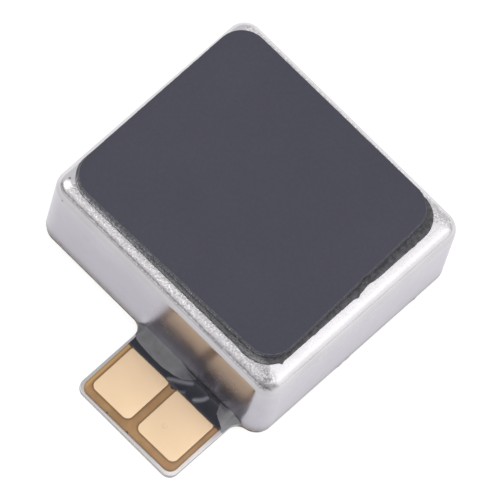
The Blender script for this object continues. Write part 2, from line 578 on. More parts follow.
# ---------------------------------------------------------------- the can
def make_case():
    """Drawn can with a crinkled top edge, open underneath, with a slot for the circuit."""
    hx, hy, r = CAN_X / 2, CAN_Y / 2, CAN_R
    segs = rect(-hx, hx, -hy, hy, r)
    cols = []
    for x, y, nx, ny in trace(segs, 0.042, 0.032):
        cols.append((x, y, nx, ny))
    # extra columns at the slot's two ends
    for edge in (SLOT_X0, SLOT_X1):
        for dx in (-0.005, 0.005):
            cols.append((edge + dx, -hy, 0.0, -1.0))
    start = trace(segs, 0.042, 0.032)
    front = sorted([c for c in cols if c[3] == -1.0 and abs(c[1] + hy) < 1e-9], key=lambda c: c[0])
    rest = [c for c in start if not (c[3] == -1.0 and abs(c[1] + hy) < 1e-9)]
    cols = front + rest
    n = len(cols)
    wall_top = CAN_TOP - CAN_TOP_R
    heights = []
    z = PLATE_T + 0.07
    while z < 0.60:
        heights.append(z)
        z += 0.035
    while z < 2.55:
        heights.append(z)
        z += 0.10
    while z < wall_top - 0.01:
        heights.append(z)
        z += 0.028
    heights.append(wall_top)
    phis = [math.radians(90 * k / 26) for k in range(1, 27)]
    shrink = [0.006, 0.02, 0.045, 0.09, 0.16, 0.26, 0.40, 0.60, 0.80]
    # weld nuggets along the seam: x, y, size
    welds = [(-2.05, -hy, 1.0), (-1.62, -hy, 0.8), (-3.55, -hy, 0.7), (hx, -0.62, 1.0),
             (hx, -0.28, 0.8), (hx, 2.45, 0.9), (-2.0, hy, 1.0), (2.1, hy, 0.9),
             (-hx, 1.7, 0.9), (-hx, -1.6, 1.0)]
    verts, faces = [], []

    def outer(i, inset, z, phi):
        x, y, nx, ny = cols[i]
        px, py = x - nx * inset, y - ny * inset
        c, s = math.cos(phi), math.sin(phi)
        deg = math.degrees(phi)
        d = 0.0
        # crinkle of the drawn edge
        w = smooth(46, 57, deg) * (1 - smooth(76, 87, deg)) * (0.1 + 0.9 * smooth(0.4, 0.9, abs(ny)))
        if w > 0:
            d += w * 0.0075 * turb(px, py, z, 0.100, 3, 1.0)
            d += w * 0.0040 * turb(px, py, z, 0.34, 2, 5.0)
        # the rest of the rolled edge is only a little uneven
        d += 0.0016 * turb(px, py, z, 0.22, 2, 9.0) * smooth(5, 20, deg) * (1 - smooth(84, 90, deg))
        # mark left by the die round the rolled edge
        if 34 < deg < 58:
            at = (deg - 46) / 4.5
            patch = smooth(-0.35, 0.25, turb(px, py, 0.0, 0.9, 2, 3.0))
            d -= 0.009 * math.exp(-at * at) * (0.35 + 0.65 * patch) * smooth(0.4, 0.9, abs(ny))
        # the top falls away a little towards its edge
        if deg > 60:
            d -= 0.022 * (1 - smooth(0.25, 0.75, inset)) * smooth(60, 88, deg)
        # slow waviness of the walls
        if deg < 1:
            up = smooth(PLATE_T, 0.9, z) * (1 - smooth(2.5, wall_top, z))
            d += 0.0045 * n3(px, py, z * 0.6, 2.6, 2.0) * up
        for wx, wy, size in welds:
            if abs(px - wx) < 0.5 and abs(py - wy) < 0.5 and z < 0.7:
                q = ((px - wx) ** 2 + (py - wy) ** 2) / 0.011 + (z - 0.235) ** 2 / 0.0045
                d += 0.017 * size * math.exp(-q) * (1 + 0.5 * n3(px, py, z, 0.07, 4.0))
        return (px + nx * d * c, py + ny * d * c, z + d * s)

    rows = []
    low = []
    for i in range(n):
        x = cols[i][0]
        in_slot = cols[i][3] == -1.0 and SLOT_X0 < x < SLOT_X1
        low.append(SLOT_TOP if in_slot else PLATE_T)

    def lift(i, z):
        return low[i] + (z - PLATE_T) * (wall_top - low[i]) / (wall_top - PLATE_T)

    rows.append([(cols[i][0] - cols[i][2] * 0.035, cols[i][1] - cols[i][3] * 0.035, low[i]) for i in range(n)])
    rows.append([outer(i, 0.010, low[i] + 0.010, 0.0) for i in range(n)])
    rows.append([outer(i, 0.0, low[i] + 0.035, 0.0) for i in range(n)])
    for z in heights:
        rows.append([outer(i, 0.0, lift(i, z), 0.0) for i in range(n)])
    for phi in phis:
        rows.append([outer(i, CAN_TOP_R * (1 - math.cos(phi)), wall_top + CAN_TOP_R * math.sin(phi), phi)
                     for i in range(n)])
    rim = rows[-1]
    for t in shrink:
        rows.append([(x * (1 - t), y * (1 - t),
                      CAN_TOP - 0.022 * (1 - smooth(0.25, 0.75, CAN_TOP_R + t * 3.8))) for x, y, z in rim])
    outer_rows = len(rows)
    # inside skin, from the middle of the ceiling down to the lip
    inner_r = CAN_TOP_R - CAN_WALL
    inner_rim = [(cols[i][0] - cols[i][2] * CAN_TOP_R, cols[i][1] - cols[i][3] * CAN_TOP_R, CEILING) for i in range(n)]
    inside = []
    for t in reversed(shrink[3:]):
        inside.append([(x * (1 - t), y * (1 - t), CEILING) for x, y, z in inner_rim])
    inside.append(inner_rim)
    for k in range(7, -1, -1):
        phi = math.radians(90 * k / 8)
        inset = CAN_WALL + inner_r * (1 - math.cos(phi))
        inside.append([(cols[i][0] - cols[i][2] * inset, cols[i][1] - cols[i][3] * inset,
                        wall_top + inner_r * math.sin(phi)) for i in range(n)])
    for z in (2.2, 1.4, 0.8, 0.5):
        inside.append([(cols[i][0] - cols[i][2] * CAN_WALL, cols[i][1] - cols[i][3] * CAN_WALL, lift(i, z)) for i in range(n)])
    inside.append([(cols[i][0] - cols[i][2] * CAN_WALL, cols[i][1] - cols[i][3] * CAN_WALL, low[i]) for i in range(n)])
    for row in rows + inside:
        verts += row
    total = len(rows) + len(inside)

    def band(a, b):
        for i in range(n):
            j = (i + 1) % n
            faces.append((a * n + i, a * n + j, b * n + j, b * n + i))

    for k in range(outer_rows - 1):
        band(k, k + 1)
    for k in range(outer_rows, total - 1):
        band(k, k + 1)
    band(total - 1, 0)
    top, under = len(verts), len(verts) + 1
    verts.append((0, 0, CAN_TOP))
    verts.append((0, 0, CEILING))
    for i in range(n):
        j = (i + 1) % n
        faces.append(((outer_rows - 1) * n + i, (outer_rows - 1) * n + j, top))
        faces.append((outer_rows * n + i, outer_rows * n + j, under))
    return build("can_shell", verts, faces, 40.0)


def plate_outline():
    hx, hy, r = CAN_X / 2 - PLATE_INSET, CAN_Y / 2 - PLATE_INSET, CAN_R - PLATE_INSET
    corner = (hx - r, -hy + r)
    neck = [TONGUE_X1 + NECK_R, corner[1] - math.sqrt((r + NECK_R) ** 2 - (TONGUE_X1 + NECK_R - corner[0]) ** 2)]
    lean = math.degrees(math.atan2(neck[1] - corner[1], neck[0] - corner[0]))
    tx0, tx1, ty, tr = TONGUE_X0, TONGUE_X1, TONGUE_Y, TONGUE_R
    return [("l", (-hx, hy - r), (-hx, -hy + r)), ("a", (-hx + r, -hy + r), r, 180, 270),
            ("l", (-hx + r, -hy), (tx0 - NECK_R, -hy)), ("a", (tx0 - NECK_R, -hy - NECK_R), NECK_R, 90, 0),
            ("l", (tx0, -hy - NECK_R), (tx0, ty + tr)), ("a", (tx0 + tr, ty + tr), tr, 180, 270),
            ("l", (tx0 + tr, ty), (tx1 - tr, ty)), ("a", (tx1 - tr, ty + tr), tr, 270, 360),
            ("l", (tx1, ty + tr), (tx1, neck[1])), ("a", tuple(neck), NECK_R, 180, lean + 180),
            ("a", corner, r, lean, 0), ("l", (hx, -hy + r), (hx, hy - r)),
            ("a", (hx - r, hy - r), r, 0, 90), ("l", (hx - r, hy), (-hx + r, hy)),
            ("a", (-hx + r, hy - r), r, 90, 180)]


def film_outline(end_y, r):
    cut = math.degrees(math.atan2(-1.479, 2.319))
    meet = math.degrees(math.acos(FPC_X0 / FPC_DISC_R))
    start = ("l", (FPC_X0, -FPC_DISC_R * math.sin(math.radians(meet))), (FPC_X0, end_y + r))
    ends = [("a", (FPC_X0 + r, end_y + r), r, 180, 270), ("l", (FPC_X0 + r, end_y), (FPC_X1 - r, end_y)),
            ("a", (FPC_X1 - r, end_y + r), r, 270, 360)] if r else [("l", (FPC_X0, end_y), (FPC_X1, end_y))]
    return [start] + ends + [("l", (FPC_X1, end_y + r), (FPC_X1, -3.30)), ("l", (FPC_X1, -3.30), (2.319, -1.479)),
                             ("a", (0.0, 0.0), FPC_DISC_R, cut, 360 - meet)]


def track_outline(pad, track, land):
    """The part of a conductor that the coverlay hides: a step under its front edge, track and land."""
    x0, x1, y1 = pad[0], pad[1], pad[3]
    y0 = COVER_Y - 0.004
    return [("l", (x0, y0), (x1, y0)), ("l", (x1, y0), (x1, y1)), ("l", (x1, y1), (track[1], y1)),
            ("l", (track[1], y1), (track[1], land[2])), ("l", (track[1], land[2]), (land[1], land[2])),
            ("l", (land[1], land[2]), (land[1], land[3])), ("l", (land[1], land[3]), (land[0], land[3])),
            ("l", (land[0], land[3]), (land[0], land[2])), ("l", (land[0], land[2]), (track[0], land[2])),
            ("l", (track[0], land[2]), (track[0], y1)), ("l", (track[0], y1), (x0, y1)), ("l", (x0, y1), (x0, y0))]


def make_conductor(name, pad, track, land):
    """Plated pad with a soft etched edge, and the bare track behind it."""
    x0, x1, y0 = pad[0], pad[1], pad[2]
    top = Z_PAD + PLATING_T
    shown = plate("pad", rect(x0, x1, y0, COVER_Y - 0.004, (0.20, 0.20, 0.075, 0.075)), [],
                  [(-0.004, Z_COPPER + 0.0004), (0.0, Z_COPPER + 0.010), (0.0, top - 0.010),
                   (0.0035, top - 0.004), (0.009, top - 0.001), (0.018, top)], 0.05, 0.015, 50.0, turn)
    hidden = plate("track", track_outline(pad, track, land), [],
                   [(0.0, Z_COPPER + 0.0004), (0.0, Z_PAD - 0.004), (0.004, Z_PAD)], 0.08, None, 50.0, turn)
    return join(name, [shown, hidden])


def grid_block(name, nu, nv, at, floor, sharp=50.0):
    """Closed piece under a height field. at(u, v) gives x, y, z on top; floor(x, y) its underside."""
    verts, faces = [], []
    for i in range(nu + 1):
        for j in range(nv + 1):
            verts.append(at(i / nu, j / nv))
    m = nv + 1
    count = len(verts)
    for x, y, z in list(verts):
        verts.append((x, y, min(z - 0.002, floor(x, y))))
    for i in range(nu):
        for j in range(nv):
            a = i * m + j
            faces.append((a, a + m, a + m + 1, a + 1))
            faces.append((count + a, count + a + 1, count + a + m + 1, count + a + m))
    ring = ([i * m for i in range(nu + 1)] + [nu * m + j for j in range(1, nv + 1)]
            + [i * m + nv for i in range(nu - 1, -1, -1)] + [j for j in range(nv - 1, 0, -1)])
    for k in range(len(ring)):
        a, b = ring[k], ring[(k + 1) % len(ring)]
        faces.append((a, b, count + b, count + a))
    return build(name, verts, faces, sharp)


STREAKS = [([(1.50, -4.590), (1.60, -4.515), (1.72, -4.440), (1.86, -4.345), (1.98, -4.255), (2.06, -4.185)], 0.9),
           ([(2.46, -4.500), (2.52, -4.440), (2.585, -4.360), (2.64, -4.27), (2.67, -4.18)], 1.25),
           ([(1.96, -4.665), (2.02, -4.620), (2.09, -4.545)], 0.45)]


def streak(x, y, width):
    """How close a point is to one of the ridges in the coverlay's skin, 0 to 1."""
    best = 0.0
    for line, amount in STREAKS:
        for (ax, ay), (bx, by) in zip(line, line[1:]):
            ux, uy = bx - ax, by - ay
            t = max(0.0, min(1.0, ((x - ax) * ux + (y - ay) * uy) / (ux * ux + uy * uy)))
            d = math.hypot(x - ax - ux * t, y - ay - uy * t)
            best = max(best, amount * math.exp(-(d / width) ** 2))
    return best


def cover_height(x, y):
    """The coverlay's glossy skin between the pads and the can: wetted with glue, a little wavy."""
    px, py = unturn(x, y)
    front = smooth(COVER_Y - 0.06, COVER_Y + 0.05, py)
    side = smooth(FPC_X0, FPC_X0 + 0.04, px) * (1 - smooth(FPC_X1 - 0.04, FPC_X1, px))
    h = Z_PAD + 0.006 + (Z_COVER - Z_PAD - 0.006) * front
    clear = 1 - smooth(-4.12, -4.03, y)
    h += 0.024 * streak(x, y, 0.062) * front * clear
    h -= 0.016 * (1 - clear) * smooth(1.70, 1.85, x) * (1 - smooth(3.25, 3.40, x))
    h -= 0.006 * math.exp(-((x - 2.30) / 0.22) ** 2 - ((y + 4.42) / 0.14) ** 2)
    h += 0.004 * turb(x, y, 0.0, 0.45, 2, 7.0) * front * clear
    return Z_COPPER + (h - Z_COPPER) * (0.35 + 0.65 * side)


def make_coverlay():
    y0, y1 = COVER_Y, -3.78

    def at(u, v):
        x = FPC_X0 + (FPC_X1 - FPC_X0) * u
        y = y0 + (y1 - y0) * v
        # its front edge, a little uneven, with a tongue of glue between the pads
        near = 1 - smooth(0, 0.16, v)
        y += near * (0.008 * n3(x, 0, 0, 0.35, 3.0) - 0.075 * math.exp(-((x - 1.685) / 0.085) ** 2))
        fx, fy, _ = turn(x, y)
        return (fx, fy, cover_height(fx, fy))

    outside = grid_block("cover_a", 260, 72, at, lambda x, y: Z_COPPER + 0.0005)
    holes = [circle(FPC_HOLE_R, hole=True)]
    for x0, x1, ly0, ly1 in (LAND_L, LAND_R):
        a, b, c, d = x0 - 0.08, x1 + 0.08, ly0 - 0.08, ly1 + 0.08
        holes.append([("l", (a, c), (a, d)), ("l", (a, d), (b, d)), ("l", (b, d), (b, c)), ("l", (b, c), (a, c))])
    inside = plate("cover_b", film_outline(y1, 0), holes,
                   [(0.0, Z_COPPER + 0.0005), (0.0, Z_COVER - 0.008), (0.008, Z_COVER)], 0.08, None, 35.0, turn)
    ob = join("coverlay_skin", [outside, inside])
    mark = ob.data.attributes.new("streak", "FLOAT", "POINT")
    mark.data.foreach_set("value", [streak(v.co.x / MM, v.co.y / MM, 0.055) for v in ob.data.vertices])
    return ob


def along(points, x):
    """Smooth height of a curve given as (x, value) points."""
    if x <= points[0][0]:
        return points[0][1]
    for (xa, ya), (xb, yb) in zip(points, points[1:]):
        if x <= xb:
            t = (x - xa) / (xb - xa)
            return ya + (yb - ya) * (0.5 * t + 0.5 * t * t * (3 - 2 * t))
    return points[-1][1]


_corner = (CAN_X / 2 - CAN_R, -CAN_Y / 2 + CAN_R)
_reach = CAN_R - PLATE_INSET + NECK_R
NECK_RIGHT = (TONGUE_X1 + NECK_R, _corner[1] - math.sqrt(_reach ** 2 - (TONGUE_X1 + NECK_R - _corner[0]) ** 2))
NECK_LEFT = (TONGUE_X0 - NECK_R, -CAN_Y / 2 + PLATE_INSET - NECK_R)
TOE_LEFT = [(-0.42, -4.005), (-0.30, -4.050), (-0.16, -4.300), (0.017, -4.439), (0.25, -4.468), (0.493, -4.483),
            (0.80, -4.492), (1.085, -4.488), (1.457, -4.426), (1.729, -4.345), (1.954, -4.183), (2.04, -4.03)]
TOE_RIGHT = [(3.02, -4.02), (3.06, -4.10), (3.20, -4.335), (3.38, -4.43), (3.543, -4.519), (3.640, -4.590),
             (3.698, -4.610), (3.730, -4.42), (3.748, -4.25), (3.800, -4.16), (3.872, -4.085), (3.96, -4.005)]


def bead_toe(x, left):
    """Where the glue ends in front of the wall, kept on the plate."""
    toe = along(TOE_LEFT if left else TOE_RIGHT, x)
    cx, cy = NECK_LEFT if left else NECK_RIGHT
    if abs(x - cx) < NECK_R and (x < TONGUE_X0 if left else x > TONGUE_X1):
        toe = max(toe, cy + math.sqrt(NECK_R ** 2 - (x - cx) ** 2) + 0.006)
    return min(toe, -CAN_Y / 2 - 0.002)


def make_bead(left):
    x0, x1 = (-0.44, 2.035) if left else (3.03, 3.95)
    wall = -CAN_Y / 2 + 0.004
    nu, nv = (280, 40) if left else (120, 40)

    def top_at(x):
        if left:
            return 0.150 * smooth(-0.44, 0.0, x) * (1 - smooth(1.30, 1.78, x)) + 0.003
        return 0.130 * smooth(3.16, 3.46, x) * (1 - smooth(3.66, 3.94, x)) + 0.003

    def under(x, y):
        px, py = unturn(x, y)
        if FPC_X0 <= px <= FPC_X1:
            return cover_height(x, y) if py > COVER_Y else Z_COPPER
        return PLATE_T

    def soft_under(x, y):
        """The surface that the glue lies on, with its steps rounded off."""
        total = weight = 0.0
        for k in range(-4, 5):
            w = math.exp(-(k / 2.4) ** 2)
            total += w * under(x + k * 0.028, y)
            weight += w
        return max(total / weight, under(x, y) - 0.004)

    def at(u, v):
        x = x0 + (x1 - x0) * u
        toe = bead_toe(x, left)
        y = wall + (toe - wall) * v
        h = top_at(x) * (1 - v) ** 1.35
        taper = smooth(0, 0.07, u) * (1 - smooth(0.93, 1.0, u))
        edge = 0.014 * math.sqrt(max(0.0, 1 - v ** 5)) * taper
        h += 0.0025 * turb(x, y, 0, 0.3, 2, 11.0) * (1 - v)
        return (x, y, soft_under(x, y) + h + edge - 0.003 * smooth(0.96, 1.0, v))

    return grid_block("bead_left" if left else "bead_right", nu, nv, at, lambda x, y: PLATE_T + 0.001, 0)


# ---------------------------------------------------------------- foam pad on the can
def ragged(x, y, seed, big, small):
    return big * turb(x, y, 0, 0.55, 3, seed) + small * turb(x, y, 0, 0.09, 3, seed + 3)


def make_foam():
    """Cushion cut from a foam sheet: flat skin on top, torn cell walls round its side."""
    z0, z1 = CAN_TOP + 0.058, FOAM_TOP
    cols = trace(quad(FOAM_CORNERS, PATCH_R), 0.030, 0.027)
    n = len(cols)
    side = [(0.030, z0, 0.6), (0.004, z0 + 0.02, 1.0), (-0.004, z0 + 0.05, 1.0), (0.0, z0 + 0.085, 1.0),
            (0.006, z0 + 0.115, 0.9), (0.016, z0 + 0.142, 0.7), (0.036, z1 - 0.010, 0.45), (0.062, z1 - 0.002, 0.25),
            (0.10, z1, 0.08)]
    verts, faces = [], []
    for inset, z, rough in side:
        for x, y, nx, ny in cols:
            k = ragged(x, y, 2.0, 0.012, 0.0) + rough * 0.020 * turb(x, y, z * 1.6, 0.075, 3, 6.0)
            # torn notch on the long side
            k -= 0.05 * math.exp(-((x - 3.756) ** 2 + (y - 0.55) ** 2) / 0.016) * rough
            dz = 0.010 * turb(x, y, z, 0.11, 2, 13.0) * (1 if 0.05 < z - z0 < 0.2 else 0)
            verts.append((x + nx * (k - inset), y + ny * (k - inset), z + dz))
    cx, cy = -0.26, 0.06
    shrink = [0.012, 0.03, 0.055, 0.09, 0.13, 0.18, 0.24, 0.31, 0.39, 0.48, 0.57, 0.66, 0.75, 0.84, 0.92]
    rim = verts[-n:]
    for t in shrink:
        for x, y, z in rim:
            px, py = cx + (x - cx) * (1 - t), cy + (y - cy) * (1 - t)
            sink = 0.006 * turb(px, py, 0, 2.4, 2, 8.0) * smooth(0, 0.2, t)
            verts.append((px, py, z1 - 0.003 + 0.003 * (1 - smooth(0, 0.1, t)) + min(0.0, sink)))
    rows = len(side) + len(shrink)
    for k in range(rows - 1):
        for i in range(n):
            j = (i + 1) % n
            faces.append((k * n + i, k * n + j, (k + 1) * n + j, (k + 1) * n + i))
    faces.append(tuple(range(n)))
    top = len(verts)
    verts.append((cx, cy, z1 - 0.003))
    for i in range(n):
        faces.append(((rows - 1) * n + i, (rows - 1) * n + (i + 1) % n, top))
    return build("foam_cushion", verts, faces, 60.0)


def make_foam_film():
    """Black adhesive layer under the cushion, wider than it on the +X side."""
    cols = trace(quad(FILM_CORNERS, PATCH_R), 0.030, 0.027)
    n = len(cols)
    side = [(0.03, CAN_TOP + 0.0005), (0.0, CAN_TOP + 0.012), (-0.004, CAN_TOP + 0.034), (0.010, CAN_TOP + 0.052),
            (0.045, CAN_TOP + 0.060), (0.12, CAN_TOP + 0.061), (0.30, CAN_TOP + 0.060)]
    verts, faces = [], []
    bits = [(3.93, -2.95, 0.070, 0.055), (3.96, 0.10, 0.045, 0.09), (3.95, 0.60, -0.035, 0.20),
            (3.95, -1.60, 0.015, 0.10), (3.0, -3.55, 0.02, 0.2), (3.95, 2.4, 0.015, 0.1)]
    for inset, z in side:
        for x, y, nx, ny in cols:
            k = ragged(x, y, 21.0, 0.012, 0.010) * (1 if inset < 0.1 else 0.4)
            for bx, by, amount, width in bits:
                k += amount * math.exp(-((x - bx) ** 2 + (y - by) ** 2) / width ** 2) * (1 if inset < 0.05 else 0.5)
            dz = 0.008 * turb(x, y, 0, 0.10, 2, 31.0) if z > CAN_TOP + 0.04 and inset < 0.2 else 0.0
            verts.append((x + nx * (k - inset), y + ny * (k - inset), z + dz))
    rows = len(side)
    for k in range(rows - 1):
        for i in range(n):
            j = (i + 1) % n
            faces.append((k * n + i, k * n + j, (k + 1) * n + j, (k + 1) * n + i))
    faces.append(tuple(range(n)))
    faces.append(tuple(range((rows - 1) * n, rows * n)))
    return build("foam_film", verts, faces, 60.0)


# ---------------------------------------------------------------- inside the can
def make_coil():
    """Ring wound from fine wire: each turn shows as a ridge on both sides and the top."""
    ri, ro, z0, z1 = 1.80, 2.20, Z_COVER, Z_COVER + 1.20
    w = 0.052
    prof = []
    for lo, hi, fixed, sign in ((z0, z1, ro, 1), ):
        turns = int((hi - lo - 0.06) / w)
        for k in range(turns):
            for q in range(4):
                a = math.pi * q / 4
                prof.append((fixed - 0.012 + 0.012 * math.sin(a), lo + 0.03 + (k + q / 4) * (hi - lo - 0.06) / turns))
    prof.append((ro - 0.012, z1 - 0.03))
    turns = 7
    for k in range(turns):
        for q in range(4):
            a = math.pi * q / 4
            prof.append((ro - 0.03 - (k + q / 4) * (ro - ri - 0.06) / turns, z1 - 0.012 + 0.012 * math.sin(a)))
    prof.append((ri + 0.03, z1 - 0.012))
    turns = int((z1 - z0 - 0.06) / w)
    for k in range(turns):
        for q in range(4):
            a = math.pi * q / 4
            prof.append((ri + 0.012 - 0.012 * math.sin(a), z1 - 0.03 - (k + q / 4) * (z1 - z0 - 0.06) / turns))
    prof += [(ri + 0.012, z0 + 0.03), (ri + 0.03, z0), (ro - 0.03, z0)]
    return lathe("coil_winding", prof, 180, 30.0)


def make_spring():
    """Stamped leaf spring: frame at the ceiling, four sloping arms, ring on the yoke."""
    t = 0.10
    ring_z, frame_z = 2.47, CEILING - t
    fx, fy, fw = 4.02, 3.52, 0.42
    frame_part = plate("s_frame", rect(-fx, fx, -fy, fy, 0.45),
                       [list_reverse(rect(-fx + fw, fx - fw, -fy + fw, fy - fw, 0.55))],
                       edge_rows(frame_z, CEILING - 0.0005, 0.012, 0.012, 3), 0.08, 0.05)
    ring_part = plate("s_ring", circle(1.60), [circle(0.95, hole=True)],
                      edge_rows(ring_z + 0.0005, ring_z + t, 0.012, 0.012, 3), 0.08, 0.06)
    parts = [frame_part, ring_part]
    ax, ay, power = fx - fw / 2, fy - fw / 2, 6.0
    sweep, width, r_end = math.radians(150), 0.34, 1.325
    for start in (25, 115, 205, 295):
        start = math.radians(start)
        verts, faces = [], []
        n = 72

        def centre(u):
            b = start + sweep * u
            c, s = abs(math.cos(b)), abs(math.sin(b))
            edge = ((c / ax) ** power + (s / ay) ** power) ** (-1 / power)
            ease = min(1.0, max(0.0, u))
            rr = edge * (1 - ease) + r_end * ease
            return Vector((rr * math.cos(b), rr * math.sin(b)))

        section = [(-1, 0.0), (-0.96, -0.012), (0.96, -0.012), (1, 0.0), (1, 1.0), (0.96, 1.012), (-0.96, 1.012), (-1, 1.0)]
        for i in range(n + 1):
            u = i / n
            p = centre(u)
            d = (centre(u + 0.01) - centre(u - 0.01)).normalized()
            side = Vector((-d.y, d.x))
            drop = smooth(0.10, 0.90, u)
            z = (frame_z + 0.004) * (1 - drop) + (ring_z + 0.004) * drop
            for a, b in section:
                q = p + side * (a * width / 2)
                verts.append((q.x, q.y, z + 0.012 + min(max(b, 0.0), 1.0) * (t - 0.032) + (0.010 if b > 1 else -0.010 if b < 0 else 0.0)))
        m = len(section)
        for i in range(n):
            for k in range(m):
                j = (k + 1) % m
                faces.append((i * m + k, i * m + j, (i + 1) * m + j, (i + 1) * m + k))
        faces.append(tuple(range(m)))
        faces.append(tuple(range(n * m, (n + 1) * m)))
        parts.append(build("s_arm", verts, faces))
    return join("spring_leaf", parts)


def list_reverse(segments):
    """The same closed outline run the other way, for a hole."""
    out = []
    for s in reversed(segments):
        out.append(("l", s[2], s[1]) if s[0] == "l" else ("a", s[1], s[2], s[4], s[3]))
    return out


def make_mass():
    x, y, r, z0, z1, c = 4.0, 3.5, 0.55, 0.78, 2.42, 0.15
    bore = 2.73
    outer = trace(rect(-x, x, -y, y, r), 0.12, 0.06)
    inner = trace(circle(bore, hole=True), 0.09)
    rows_out = [(c, z0), (c - 0.012, z0 + 0.003), (0.012, z0 + c - 0.012), (0.0, z0 + c + 0.006),
                (0.0, z1 - c - 0.006), (0.012, z1 - c + 0.012), (c - 0.012, z1 - 0.003), (c, z1)]
    rows_in = [(0.03, z0), (0.009, z0 + 0.009), (0.0, z0 + 0.03), (0.0, (z0 + z1) / 2), (0.0, z1 - 0.03),
               (0.009, z1 - 0.009), (0.03, z1)]
    verts, faces, ends = [], [], ([], [])
    for loop, rows in ((outer, rows_out), (inner, rows_in)):
        n, base = len(loop), len(verts)
        for inset, z in rows:
            for px, py, nx, ny in loop:
                verts.append((px - nx * inset, py - ny * inset, z))
        for k in range(len(rows) - 1):
            for i in range(n):
                j = (i + 1) % n
                a = base + k * n
                faces.append((a + i, a + j, a + n + j, a + n + i))
        ends[0].append(list(range(base, base + n)))
        ends[1].append(list(range(base + (len(rows) - 1) * n, base + len(rows) * n)))
    for loops_at in ends:
        flat = [i for loop in loops_at for i in loop]
        polys = [[Vector((verts[i][0], verts[i][1], 0)) for i in loop] for loop in loops_at]
        for tri in tessellate_polygon(polys):
            faces.append(tuple(flat[i] for i in tri))
    return build("mass_block", verts, faces, 30.0)


def make_leads():
    step_y, lead_z, low_z = -2.69, 0.325, 0.295
    gap = 2.20 + 0.04 + 0.012
    a = math.radians(-72)
    outer = tube("lead_outer", spline([(gap * math.cos(a), gap * math.sin(a), lead_z + 0.25),
                                       (gap * math.cos(a), gap * math.sin(a) - 0.012, lead_z + 0.06),
                                       (0.70, -2.42, lead_z + 0.01), (0.70, step_y, lead_z),
                                       (0.70, -2.86, low_z + 0.006), (0.70, -3.02, low_z)], 8), 0.04, 12)
    over = Z_COVER + 1.20 + 0.05
    a = math.radians(-58)
    ca, sa = math.cos(a), math.sin(a)
    inner = tube("lead_inner", spline([(1.74 * ca, 1.74 * sa, over - 0.35), (1.745 * ca, 1.745 * sa, over - 0.05),
                                       (2.0 * ca, 2.0 * sa, over + 0.012), (2.258 * ca, 2.258 * sa, over - 0.06),
                                       (2.262 * ca, 2.262 * sa, lead_z + 0.12), (2.30 * ca, 2.30 * sa, lead_z + 0.01),
                                       (2.2, -2.50, lead_z + 0.004), (2.30, step_y, lead_z),
                                       (2.30, -2.86, low_z + 0.006), (2.30, -3.02, low_z)], 8), 0.04, 12)
    return outer, inner


def make_solder():
    domes = []
    for cx in (0.70, 2.30):
        prof = [(0.0, Z_PAD)]
        prof.append((0.20, Z_PAD))
        for k in range(1, 9):
            a = math.radians(90 * k / 8)
            prof.append((0.20 * math.cos(a) ** 0.9 if k < 8 else 0.0, Z_PAD + 0.10 * math.sin(a) ** 1.15))
        domes.append(lathe("dome", prof, 48, 60.0, (cx, -3.025)))
    return join("solder_domes", domes)


# ---------------------------------------------------------------- make every piece
HOUSING, MOVER = "housing", "mover"


def own(ob, body, slot_name, material, *nodes):
    ob.data.materials.clear()
    ob.data.materials.append(material.m)
    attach(ob, body)
    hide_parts(*nodes)
    return ob


can_steel = steel("can_steel", (0.558, 0.545, 0.568), rough=(0.14, 0.22), stain=0.10, extra=can_details)
plate_steel = steel("plate_steel", (0.508, 0.492, 0.486), rough=(0.22, 0.34), stain=0.15, extra=plate_details)
spring_steel = steel("spring_steel", (0.55, 0.54, 0.53), rough=(0.14, 0.22))
nickel = steel("nickel", (0.66, 0.62, 0.58), rough=(0.10, 0.20))

tungsten = Mat("tungsten")
_g = tungsten.noise(0.05, 4, 0.7)
tungsten.put(Base_Color=tungsten.mix(tungsten.map(tungsten.noise(0.4, 3), 0.35, 0.65, 0, 1), (0.20, 0.20, 0.205), (0.27, 0.265, 0.26)),
             Metallic=0.9, Roughness=tungsten.map(_g, 0.3, 0.7, 0.38, 0.55), Normal=tungsten.bump(_g, 0.004))

gold = Mat("gold_plate")
_c = gold.noise(0.9, 2)
_f = gold.noise(0.16, 2, 0.5)
_col = gold.mix(gold.map(_c, 0.35, 0.65, 0, 1), (0.728, 0.540, 0.350), (0.752, 0.562, 0.370))
_x, _y, _z = gold.xyz()
_u, _v = gold.turned(_x, _y)
# a faint probe mark on the right-hand pad
_ring = gold.times(gold.spot(_u, _v, 2.37, -5.73, 0.07, 0.10), gold.math("SUBTRACT", 1.0, gold.spot(_u, _v, 2.37, -5.71, 0.045, 0.065)))
_col = gold.mix(gold.times(_ring, 0.35), _col, (0.60, 0.40, 0.24))
gold.put(Base_Color=_col, Metallic=0.45, Roughness=gold.map(gold.noise(0.2, 3), 0.3, 0.7, 0.31, 0.38), Specular_IOR_Level=0.2,
         Normal=gold.bump(_f, 0.0007))

film = Mat("polyimide")
_x, _y, _z = film.xyz()
_u, _v = film.turned(_x, _y)
_c = film.noise(0.5, 3)
_w = film.noise(0.05, 3, 0.6, vector=film.mapping(scale=(1, 0.25, 1)))
_col = film.mix(film.map(_c, 0.35, 0.65, 0, 1), (0.240, 0.128, 0.042), (0.306, 0.172, 0.062))
_col = film.mix(film.map(film.noise(0.45, 3), 0.48, 0.68, 0, 0.45), _col, (0.345, 0.158, 0.066))
# yellower and paler towards the free left edge
_col = film.mix(film.step(_u, 0.05 * MM, -0.10 * MM), _col, (0.455, 0.268, 0.094))
